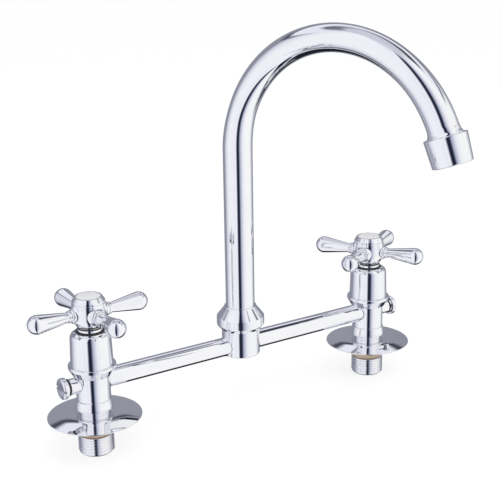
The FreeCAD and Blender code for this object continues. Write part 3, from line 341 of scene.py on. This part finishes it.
def small_steel(nodes, shader):
    shader.inputs["Metallic"].default_value = 1.0
    tone = nodes.noise(220.0, 3.0, 0.6)
    cut = nodes.noise(1500.0, 2.0, 0.6, (1.0, 1.0, 0.2))
    colour = nodes.ramp(tone, [(0.3, (0.50, 0.51, 0.53)), (0.7, (0.64, 0.65, 0.67))])
    rough = nodes.ramp(cut, [(0.3, 0.2), (0.75, 0.36)])
    wire(nodes, shader, colour, rough, [(cut, 0.15, 0.00002)])


def black_rubber(nodes, shader):
    dust = nodes.noise(700.0, 4.0, 0.65)
    bloom = nodes.noise(90.0, 3.0, 0.5)
    colour = nodes.ramp(bloom, [(0.3, (0.012, 0.012, 0.013)), (0.75, (0.032, 0.032, 0.034))])
    rough = nodes.ramp(dust, [(0.3, 0.48), (0.75, 0.72)])
    wire(nodes, shader, colour, rough, [(dust, 0.35, 0.00004)])


def tan_gasket(nodes, shader):
    """Pressed fibre: fine flecks and strands in a warm tan."""
    fleck = nodes.noise(1300.0, 5.0, 0.7)
    strand = nodes.noise(420.0, 4.0, 0.65, (1.0, 1.0, 4.0))
    tone = nodes.ramp(strand, [(0.3, (0.56, 0.44, 0.33)), (0.55, (0.70, 0.58, 0.46)),
                               (0.8, (0.80, 0.70, 0.59))])
    colour = nodes.mix(nodes.ramp(fleck, [(0.55, 0.0), (0.75, 0.5)]), tone, (0.44, 0.33, 0.24))
    rough = nodes.ramp(fleck, [(0.3, 0.72), (0.7, 0.93)])
    wire(nodes, shader, colour, rough, [(strand, 0.4, 0.00008), (fleck, 0.3, 0.00003)])


def white_ceramic(nodes, shader):
    tone = nodes.noise(120.0, 3.0, 0.5)
    grain = nodes.noise(2400.0, 2.0, 0.6)
    colour = nodes.ramp(tone, [(0.3, (0.78, 0.77, 0.74)), (0.7, (0.86, 0.855, 0.83))])
    rough = nodes.ramp(grain, [(0.3, 0.14), (0.75, 0.26)])
    wire(nodes, shader, colour, rough, [(grain, 0.08, 0.00001)])


def index_glaze(nodes, shader):
    """Bare white enamel under a clear glaze, its surface faintly rippled."""
    shader.inputs["Coat Weight"].default_value = 0.35
    shader.inputs["Coat Roughness"].default_value = 0.06
    tone = nodes.noise(110.0, 3.0, 0.5)
    ripple = nodes.noise(260.0, 2.0, 0.5)
    colour = nodes.ramp(tone, [(0.3, (0.85, 0.852, 0.865)), (0.7, (0.90, 0.90, 0.905))])
    rough = nodes.ramp(ripple, [(0.3, 0.22), (0.75, 0.34)])
    wire(nodes, shader, colour, rough, [(ripple, 0.02, 0.00001)])


def insert_plastic(nodes, shader):
    tone = nodes.noise(300.0, 3.0, 0.5)
    grain = nodes.noise(1800.0, 3.0, 0.6)
    colour = nodes.ramp(tone, [(0.3, (0.56, 0.57, 0.58)), (0.7, (0.66, 0.665, 0.67))])
    rough = nodes.ramp(grain, [(0.3, 0.38), (0.75, 0.55)])
    wire(nodes, shader, colour, rough, [(grain, 0.12, 0.00002)])


materials = {
    "chrome_plate": material("chrome_plate_look", chrome),
    "brass_machined": material("brass_machined_look", machined_brass),
    "rubber_black": material("rubber_black_look", black_rubber),
    "gasket_tan": material("gasket_tan_look", tan_gasket),
    "ceramic_disc": material("ceramic_disc_look", white_ceramic),
    "index_white": material("index_white_look", index_glaze),
    "steel_small": material("steel_small_look", small_steel),
    "insert_plastic": material("insert_plastic_look", insert_plastic),
}
for row in frame["record"]["subparts"]:
    for slot in frame["nodes"][row["node"]].material_slots:
        slot.material = materials[row["material_slot"]]


# ---------------------------------------------------------------- pillars

def threaded_shank(place):
    """Half-inch pipe thread with a chamfered end, a run-out and the smooth tail above it."""
    crest, depth, pitch, foot, top = 10.4775, 1.162, 1.814, -22.0, -9.6
    shell = Shell()
    heights = np.linspace(foot, top, 187)[:, None]
    angle = np.linspace(0, 2 * math.pi, 128, endpoint=False)[None, :]
    phase = ((heights / pitch - angle / (2 * math.pi)) % 1.0)
    flank = np.abs(phase - 0.5) * 2
    tooth = np.clip((flank - 0.12) / 0.76, 0, 1)
    tooth = tooth * tooth * (3 - 2 * tooth)
    radius = crest - depth * tooth
    radius = np.minimum(radius, crest - 1.0 + (heights - foot))
    radius = np.minimum(radius, 8.8 + np.clip((top - heights) / 1.0, 0, 1) * 1.7)
    points = np.stack([radius * np.cos(angle), radius * np.sin(angle), heights + 0 * angle], -1)
    shell.surface(points, place=place)
    shell.turned([(8.8, top), (8.8, 5.4, 0.1), (8.0, 5.4, 0.1), (8.0, 12.2, 0.3), (6.5, 12.2, 0.3),
                  (6.5, foot, 0.4), (9.45, foot, 0.05)], closed=False, place=place)
    return shell


def pillar(side):
    sign = SIDES[side]
    place = about_z(0, sign * PILLAR_X)
    out = 0.0 if sign > 0 else math.pi

    shell = threaded_shank(place)
    finish_piece(f"{side}_shank_skin", shell, "base", "chrome_plate",
                 f"{side}_inlet_shank")

    shell = Shell()
    shell.turned([(8.85, -9.3), (10.9, -9.3, 0.35), (10.9, 0), (19, 0, 0.1), (19, 1.03, 0.1),
                  (8.85, 1.03)], place=place)
    finish_piece(f"{side}_gasket_skin", shell, "base", "gasket_tan",
                 f"{side}_deck_gasket")

    shell = Shell()
    shell.turned([(8.85, 2.6, 0.1), (8.85, 1.8, 0.1), (16.2, 1.8, 20), (26, 0, 0.2), (27.5, 0, 0.12),
                  (27.5, 0.45, 0.3), (16.2, 2.6, 46)], place=place, steps=224)
    finish_piece(f"{side}_escutcheon_skin", shell, "base", "chrome_plate",
                 f"{side}_escutcheon")

    shell = Shell()
    shell.turned([(8.05, 5.4), (11, 5.4, 0.4), (11, 7.1, 0.4), (10.3, 11.1, 0.15), (9.4, 11.1, 0.1),
                  (10, 11.7, 0.15), (10, 26.35, 0.3), (11.4, 26.35, 0.2), (13.9, 30.7, 0.6),
                  (13.9, 32.6, 0.6), (10.6, 32.6), (10.6, 42, 0.3), (9.25, 42), (9.25, 34.2),
                  (7.6, 34.2), (7.6, 15.25), (4.5, 15.25), (4.5, 12.25), (8.05, 12.25)], place=place,
                 steps=192)
    branch(shell, round_skin(10), BRIDGE_Z, 4.7, 15.3, 0.5, 0.2, about_z(out, sign * PILLAR_X))
    branch(shell, round_skin(10), TUBE_Z, BOSS_OUTSIDE, 12.2, 0.6, 0.01,
           about_z(out + math.pi, sign * PILLAR_X))
    finish_piece(f"{side}_valve_skin", shell, "base", "chrome_plate",
                 f"{side}_valve_body")

    level = along_x(out, sign * PILLAR_X, 0, BRIDGE_Z)
    shell = Shell()
    shell.turned([(3.4, 15.3), (5.0, 15.3, 0.3), (5.0, 16.3, 0.3), (3.4, 16.3)], place=level)
    finish_piece(f"{side}_plug_seal_skin", shell, "base", "rubber_black",
                 f"{side}_plug_seal")
    shell = Shell()
    shell.turned([(0, 8.6), (3.3, 8.6, 0.4), (3.3, 16.3, 0.1), (4.5, 16.3, 0.1), (4.5, 17.2, 0.1),
                  (6.3, 17.2, 0.4), (6.3, 20.4, 1.1), (0, 20.4)], closed=False, place=level, steps=128)
    plug = finish_piece(f"{side}_plug_skin", shell, "base", "chrome_plate",
                        f"{side}_side_plug")
    cut_slot(plug, sign)

    shell = Shell()
    shell.turned([(11.35, 32.6, 0.1), (12.35, 32.6, 0.12), (11.7, 52.5, 3.7), (7.8, 52.5, 0.3),
                  (7.8, 51.5, 0.1), (10.7, 51.5, 2.7)], place=place, steps=192)
    finish_piece(f"{side}_bell_skin", shell, "base", "chrome_plate",
                 f"{side}_bell_cover")

    # Painted shade: a black ring fills the gap between the bell's mouth and the hub's skirt and stands in
    # for the shadow there. It is not a seal.
    shell = Shell()
    shell.turned([(7.46, 51.6), (8.15, 51.6), (8.15, 53.25, 0.25), (7.46, 53.35, 0.1)], place=place)
    finish_piece(f"{side}_bell_painted_shade_ring", shell, "base", "rubber_black")

    body = f"{side}_handle"
    # Painted shade: a black ring fills the recess round the hub's skirt and stands in for the shadow in
    # that groove. It is not a seal.
    shell = Shell()
    shell.turned([(6.31, 54.6), (7.1, 54.6), (7.1, 55.75, 0.2), (6.31, 55.75)], place=place)
    finish_piece(f"{side}_hub_painted_shade_ring", shell, body, "rubber_black")

    hub = [(6.6, 53.6), (6.6, 51), (7.4, 51, 0.1), (7.4, 54.7, 0.1), (6.3, 54.7, 0.1), (6.3, 55.6, 0.1),
           (7.2, 55.6, 0.1), (10.3, 60, 7.0), (9.6, 70, 0.6), (6.25, 70), (6.25, 66.6), (2, 66.6),
           (2, 63.6), (4.6, 63.6), (4.6, 53.6)]
    shell = Shell()
    shell.turned(hub, place=place, steps=192)
    outline, outward = profile(hub)
    outer = (outline[:, 0] > 7.3) & (outline[:, 1] > 55.7) & (outline[:, 1] < 69.6)
    order = np.argsort(outline[outer][:, 1])
    skin = outline[outer][order], outward[outer][order]
    for k in range(4):
        branch(shell, skin, PORT_Z, 4.3, 11.7, 1.2, 1.2,
               about_z(CRESTS[side] + k * math.pi / 2, sign * PILLAR_X))
    finish_piece(f"{side}_hub_skin", shell, body, "chrome_plate",
                 f"{side}_handle_hub")

    for k, letter in enumerate("abcd"):
        shell = Shell()
        level = along_x(CRESTS[side] + k * math.pi / 2, sign * PILLAR_X, 0, PORT_Z)
        shell.turned([(0, 7.7), (2, 7.7), (2, 11.7), (3.55, 11.7, 0.4), (3.55, 13.3, 0.4),
                      (2.9, 13.3, 0.25), (5.5, 31.68, 5.5), (5.5, 37.57, 5.5), (0, 37.57)],
                     closed=False, place=level, steps=112)
        finish_piece(f"{side}_arm_{letter}_skin", shell, body,
                     "chrome_plate", f"{side}_handle_arm_{letter}")

    shell = Shell()
    shell.turned([(0, 70), (5.1, 70), (5.1, 68.9), (6.2, 68.9), (6.2, 70), (9.5, 70, 0.15), (9.5, 71, 0.5),
                  (7.9, 73.4, 0.25), (7.05, 73.4, 0.05), (7.05, 72.6, 0.05), (0, 72.6)], closed=False,
                 place=place)
    finish_piece(f"{side}_cap_skin", shell, body, "chrome_plate",
                 f"{side}_index_cap")
    shell = Shell()
    shell.turned([(0, 72.6), (7.0, 72.6, 0.05), (7.0, 73.2, 0.22), (3.6, 73.38, 8), (0, 73.4)],
                 closed=False, place=place)
    finish_piece(f"{side}_disc_skin", shell, body, "index_white",
                 f"{side}_index_disc")


def cut_slot(plug, sign):
    """Saws the screwdriver slot across the plug's head."""
    x = sign * (PILLAR_X + 20.4)
    corners = [(x + dx, y, BRIDGE_Z + dz) for dx in (-1.5, 1.5) for y in (-8, 8) for dz in (-0.75, 0.75)]
    faces = [(0, 1, 3, 2), (4, 6, 7, 5), (0, 4, 5, 1), (2, 3, 7, 6), (0, 2, 6, 4), (1, 5, 7, 3)]
    mesh = bpy.data.meshes.new("slot_saw")
    mesh.from_pydata([(a * MM, b * MM, c * MM) for a, b, c in corners], [], faces)
    saw = bpy.data.objects.new("slot_saw", mesh)
    bpy.context.scene.collection.objects.link(saw)
    cut = plug.modifiers.new("slot", "BOOLEAN")
    cut.operation, cut.solver, cut.object = "DIFFERENCE", "EXACT", saw
    bpy.context.view_layer.update()
    shaped = bpy.data.meshes.new_from_object(plug.evaluated_get(bpy.context.evaluated_depsgraph_get()))
    plug.modifiers.clear()
    plug.data = shaped
    shaped.shade_smooth()
    shaped.set_sharp_from_angle(angle=math.radians(40))
    bpy.data.objects.remove(saw)


# ---------------------------------------------------------------- bridge and spout

def bridge():
    for side, sign in SIDES.items():
        shell = Shell()
        level = along_x(0.0 if sign > 0 else math.pi, 0, 0, TUBE_Z)
        shell.turned([(0, 10.55), (TUBE_OUTSIDE, 10.55, 0.1), (TUBE_OUTSIDE, 92.95, 0.1),
                      (0, 92.95)], closed=False, place=level, steps=128)
        finish_piece(f"{side}_bridge_skin", shell, "base", "chrome_plate",
                     f"{side}_bridge_tube")
    shell = Shell()
    shell.turned([(0, 15.5), (11.75, 15.5, 0.7), (11.75, 32, 0.3), (10.6, 32, 0.1), (10.6, 39.8, 0.3),
                  (9.4, 39.8, 0.3), (9.4, 36), (0, 36)], closed=False, steps=192)
    for way in (0.0, math.pi):
        branch(shell, round_skin(11.75), TUBE_Z, BOSS_OUTSIDE, 13.6, 0.6, 0.01, about_z(way))
    finish_piece("bridge_tee_skin", shell, "base", "chrome_plate", "bridge_tee")
    shell = Shell()
    shell.turned([(10.65, 32, 0.1), (12.1, 32, 0.2), (14.75, 34.8, 1.8), (14.75, 40, 0.8), (9.9, 46.2, 0.2),
                  (9.9, 46.9, 0.15), (8.98, 46.9, 0.1), (8.98, 42.4), (10.65, 42.4)], steps=192)
    finish_piece("spout_nut_skin", shell, "base", "chrome_plate", "spout_nut")


def spout():
    around = np.linspace(0, 2 * math.pi, 144, endpoint=False)
    cos, sin = np.cos(around)[:, None], np.sin(around)[:, None]
    rows = []
    turn, _ = about_z(SPOUT_TURN)
    side, front = turn @ np.array([1.0, 0, 0]), turn @ np.array([0, 1.0, 0])
    for z in np.linspace(45.4, RISER_TOP, 34)[:-1]:
        rows.append(np.array([0, 0, z]) + SPOUT_RADIUS * (cos * front + sin * side))
    arc_end = BEND_ANGLE - FLARE_LENGTH / BEND_RADIUS
    arc, end = np.linspace(0, arc_end, 150)[:-1], np.linspace(arc_end, BEND_ANGLE, 22)
    for angle in np.concatenate([arc, end]):
        centre, _, normal, across = bent(angle)
        squeeze = smooth(angle, 0, math.radians(22))
        squeeze *= 1 - 0.55 * smooth(angle, math.radians(125), math.radians(155))
        deep = SPOUT_RADIUS * (1 - FLATTENED * squeeze)
        wide = SPOUT_RADIUS * (1 + WIDENED * squeeze)
        flared = FLARE_LENGTH - (BEND_ANGLE - angle) * BEND_RADIUS
        flare = 0.2 * smooth(flared, 0, 2.7) + 0.7 * smooth(flared, 2.7, FLARE_LENGTH)
        blend = smooth(flared, 0, 4.2)
        deep = deep + (SPOUT_RADIUS - deep) * blend + flare
        wide = wide + (SPOUT_RADIUS - wide) * blend + flare
        rows.append(centre + deep * cos * normal + wide * sin * across)
    shell = Shell()
    shell.surface(np.array(rows))
    centre, tangent, normal, across = bent(BEND_ANGLE)
    outlet = np.stack([across, normal, tangent], -1), centre
    shell.turned([(9.7, -0.3), (9.8, 0, 0.1), (9.3, 0, 0.1), (9.3, 5.2, 0.3), (7.9, 5.2, 0.3), (7.9, -6.0)],
                 closed=False, place=outlet)
    finish_piece("spout_skin", shell, "spout", "chrome_plate", "spout_tube")
    shell = Shell()
    shell.turned([(9.35, 0.02, 0.1), (11.85, 0.02, 0.6), (11, 15.6, 0.6), (8.6, 15.6, 0.3),
                  (8.6, 14.6, 0.1), (9.35, 14.6, 0.1)], place=outlet, steps=192)
    finish_piece("aerator_skin", shell, "spout", "chrome_plate", "aerator_housing")


for name in SIDES:
    pillar(name)
bridge()
spout()


# ---------------------------------------------------------------- studio

def linear(value):
    value /= 255.0
    return value / 12.92 if value <= 0.04045 else ((value + 0.055) / 1.055) ** 2.4


def tone(red, green, blue):
    return linear(red), linear(green), linear(blue)


def studio():
    """A white tent round the object: a dark seam at its front, a dim gap and dark foot behind."""
    world = bpy.data.worlds.new("studio")
    bpy.context.scene.world = world
    world.use_nodes = True
    nodes = Nodes(world.node_tree)
    direction = nodes.add("ShaderNodeTexCoord").outputs["Generated"]
    turned = nodes.add("ShaderNodeMapping", {"Vector": direction, "Rotation": (0, 0, TENT_TURN)})
    axes = nodes.add("ShaderNodeSeparateXYZ", {0: turned.outputs[0]})
    azimuth = nodes.math("ARCTAN2", axes.outputs[1], axes.outputs[0])
    around = nodes.math("MULTIPLY_ADD", azimuth, 1 / (2 * math.pi), 0.5)
    climb = nodes.math("ARCSINE", axes.outputs[2])
    height = nodes.math("MULTIPLY_ADD", climb, 1 / math.pi, 0.5)

    def at(degrees):
        """Place of an azimuth in the ramps."""
        return (degrees + 180) / 360

    def up(degrees):
        """Place of an elevation in the ramps."""
        return (degrees + 90) / 180

    walls = nodes.ramp(around, [
        (at(-180), tone(150, 152, 163)), (at(-143), tone(146, 148, 160)), (at(-123), tone(142, 144, 158)),
        (at(-108), tone(200, 202, 216)), (at(-95), tone(228, 229, 240)), (at(-73), tone(250, 250, 254)),
        (at(-37), tone(247, 247, 254)), (at(-28), tone(240, 240, 251)), (at(-19), tone(252, 252, 255)),
        (at(-13), tone(228, 228, 238)), (at(-7), tone(50, 54, 76)), (at(3), tone(22, 26, 46)),
        (at(9), tone(60, 66, 88)), (at(17), tone(176, 180, 200)), (at(28), tone(216, 218, 232)),
        (at(40), tone(246, 246, 252)), (at(63), tone(255, 255, 255)), (at(107), tone(255, 255, 255)),
        (at(123), tone(206, 208, 216)), (at(143), tone(140, 142, 154)), (at(180), tone(150, 152, 163))])
    ceiling = nodes.ramp(around, [
        (at(-180), tone(212, 213, 224)), (at(-110), tone(206, 207, 220)), (at(-20), tone(216, 216, 230)),
        (at(20), tone(214, 214, 226)), (at(110), tone(202, 203, 214)), (at(180), tone(212, 213, 224))])
    gap = nodes.ramp(around, [
        (at(-180), tone(70, 72, 86)), (at(-130), tone(78, 80, 96)), (at(-100), tone(150, 152, 166)),
        (at(100), tone(96, 98, 112)), (at(130), tone(60, 62, 78)), (at(180), tone(70, 72, 86))])
    high = nodes.ramp(around, [
        (at(-180), tone(190, 191, 204)), (at(-135), tone(96, 98, 114)), (at(-105), tone(150, 152, 168)),
        (at(-90), tone(236, 236, 246)), (at(92), tone(236, 236, 246)), (at(104), tone(60, 63, 78)),
        (at(132), tone(44, 47, 62)), (at(150), tone(120, 122, 138)), (at(180), tone(190, 191, 204))])
    front = nodes.ramp(around, [(at(-100), 0.0), (at(-82), 1.0), (at(84), 1.0), (at(100), 0.0)])
    low_back = nodes.ramp(around, [(at(-125), 1.0), (at(-105), 0.0), (at(105), 0.0), (at(125), 1.0)])
    behind = nodes.mix(nodes.ramp(height, [(up(29), 0.0), (up(31.5), 1.0)]), walls, gap)
    behind = nodes.mix(nodes.ramp(height, [(up(34), 0.0), (up(37), 1.0)]), behind, tone(238, 238, 248))
    behind = nodes.mix(nodes.ramp(height, [(up(50), 0.0), (up(54), 1.0)]), behind, high)
    behind = nodes.mix(nodes.ramp(height, [(up(62), 0.0), (up(67), 1.0)]), behind, ceiling)
    ahead = nodes.mix(nodes.ramp(height, [(up(66), 0.0), (up(76), 1.0)]), walls, ceiling)
    sides = nodes.mix(front, behind, ahead)
    under = nodes.ramp(height, [(up(-40), 1.0), (up(-30), 0.0)])
    sides = nodes.mix(nodes.math("MULTIPLY", under, low_back), sides, tone(30, 32, 44))

    seen = nodes.add("ShaderNodeBackground", {"Color": (1, 1, 1, 1), "Strength": 1.0})
    soft = nodes.add("ShaderNodeBackground", {"Color": (1, 1, 1, 1), "Strength": 0.78})
    tent = nodes.add("ShaderNodeBackground", {"Color": sides, "Strength": 1.0})
    path = nodes.add("ShaderNodeLightPath")
    glossy = nodes.add("ShaderNodeMixShader", {0: path.outputs["Is Glossy Ray"], 1: soft.outputs[0],
                                               2: tent.outputs[0]})
    whole = nodes.add("ShaderNodeMixShader", {0: path.outputs["Is Camera Ray"], 1: glossy.outputs[0],
                                              2: seen.outputs[0]})
    nodes.add("ShaderNodeOutputWorld", {0: whole.outputs[0]})


def lamp(name, size, power, place, aim):
    data = bpy.data.lights.new(name, "AREA")
    data.shape, data.size, data.energy = "DISK", size, power
    obj = bpy.data.objects.new(name, data)
    obj.visible_glossy = False
    obj.visible_camera = False
    from_to = Matrix.Translation(place).translation - Matrix.Translation(aim).translation
    obj.rotation_euler = from_to.to_track_quat("Z", "Y").to_euler()
    obj.location = place
    bpy.context.scene.collection.objects.link(obj)


def floor():
    """Pale sheet under the shanks: white to the eye where nothing shades it."""
    mesh = bpy.data.meshes.new("floor")
    size, z = FLOOR_SIZE, FLOOR_Z
    mesh.from_pydata([(-size, -size, z), (size, -size, z), (size, size, z), (-size, size, z)], [],
                     [(0, 1, 2, 3)])
    sheet = bpy.data.objects.new("floor", mesh)
    bpy.context.scene.collection.objects.link(sheet)
    made = bpy.data.materials.new("floor_paper")
    made.use_nodes = True
    nodes = Nodes(made.node_tree)
    grain = nodes.noise(400.0, 3.0, 0.6)
    colour = nodes.ramp(grain, [(0.3, (0.25, 0.25, 0.25)), (0.7, (0.27, 0.27, 0.27))])
    paper = nodes.add("ShaderNodeBsdfDiffuse", {"Color": colour})
    glow = nodes.add("ShaderNodeEmission", {"Color": (1, 1, 1, 1), "Strength": 0.79})
    path = nodes.add("ShaderNodeLightPath")
    both = nodes.add("ShaderNodeAddShader", {0: paper.outputs[0], 1: glow.outputs[0]})
    pale = nodes.add("ShaderNodeBsdfDiffuse", {"Color": (0.8, 0.8, 0.8, 1)})
    seen = nodes.add("ShaderNodeMixShader", {0: path.outputs["Is Camera Ray"], 1: pale.outputs[0],
                                             2: both.outputs[0]})
    clear = nodes.add("ShaderNodeBsdfTransparent")
    whole = nodes.add("ShaderNodeMixShader", {0: path.outputs["Is Glossy Ray"], 1: seen.outputs[0],
                                              2: clear.outputs[0]})
    nodes.add("ShaderNodeOutputMaterial", {0: whole.outputs[0]})
    mesh.materials.append(made)


def camera():
    heading, dip, roll = -0.5788, 0.2889, -0.0144
    right = np.array([math.cos(heading), math.sin(heading), 0])
    level = math.cos(dip)
    ahead = np.array([-math.sin(heading) * level, math.cos(heading) * level, -math.sin(dip)])
    above = np.cross(right, ahead)
    across = math.cos(roll) * right + math.sin(roll) * above
    upward = -math.sin(roll) * right + math.cos(roll) * above
    data = bpy.data.cameras.new("camera")
    data.sensor_fit, data.sensor_width, data.lens = "HORIZONTAL", 36.0, 79.515
    data.clip_start, data.clip_end = 0.01, 20.0
    obj = bpy.data.objects.new("camera", data)
    pose = np.eye(4)
    pose[:3, 0], pose[:3, 1], pose[:3, 2] = across, upward, -ahead
    pose[:3, 3] = -0.34619, -0.54185, 0.27971
    obj.matrix_world = Matrix(pose.tolist())
    bpy.context.scene.collection.objects.link(obj)
    bpy.context.scene.camera = obj


studio()
lamp("key", 0.9, 3.2, (-0.25, -0.55, 1.0), (0, 0, 0.05))
lamp("fill", 0.9, 1.6, (0.7, -0.3, 0.8), (0, 0, 0.05))
floor()
camera()
bpy.context.scene.view_settings.view_transform = "Standard"
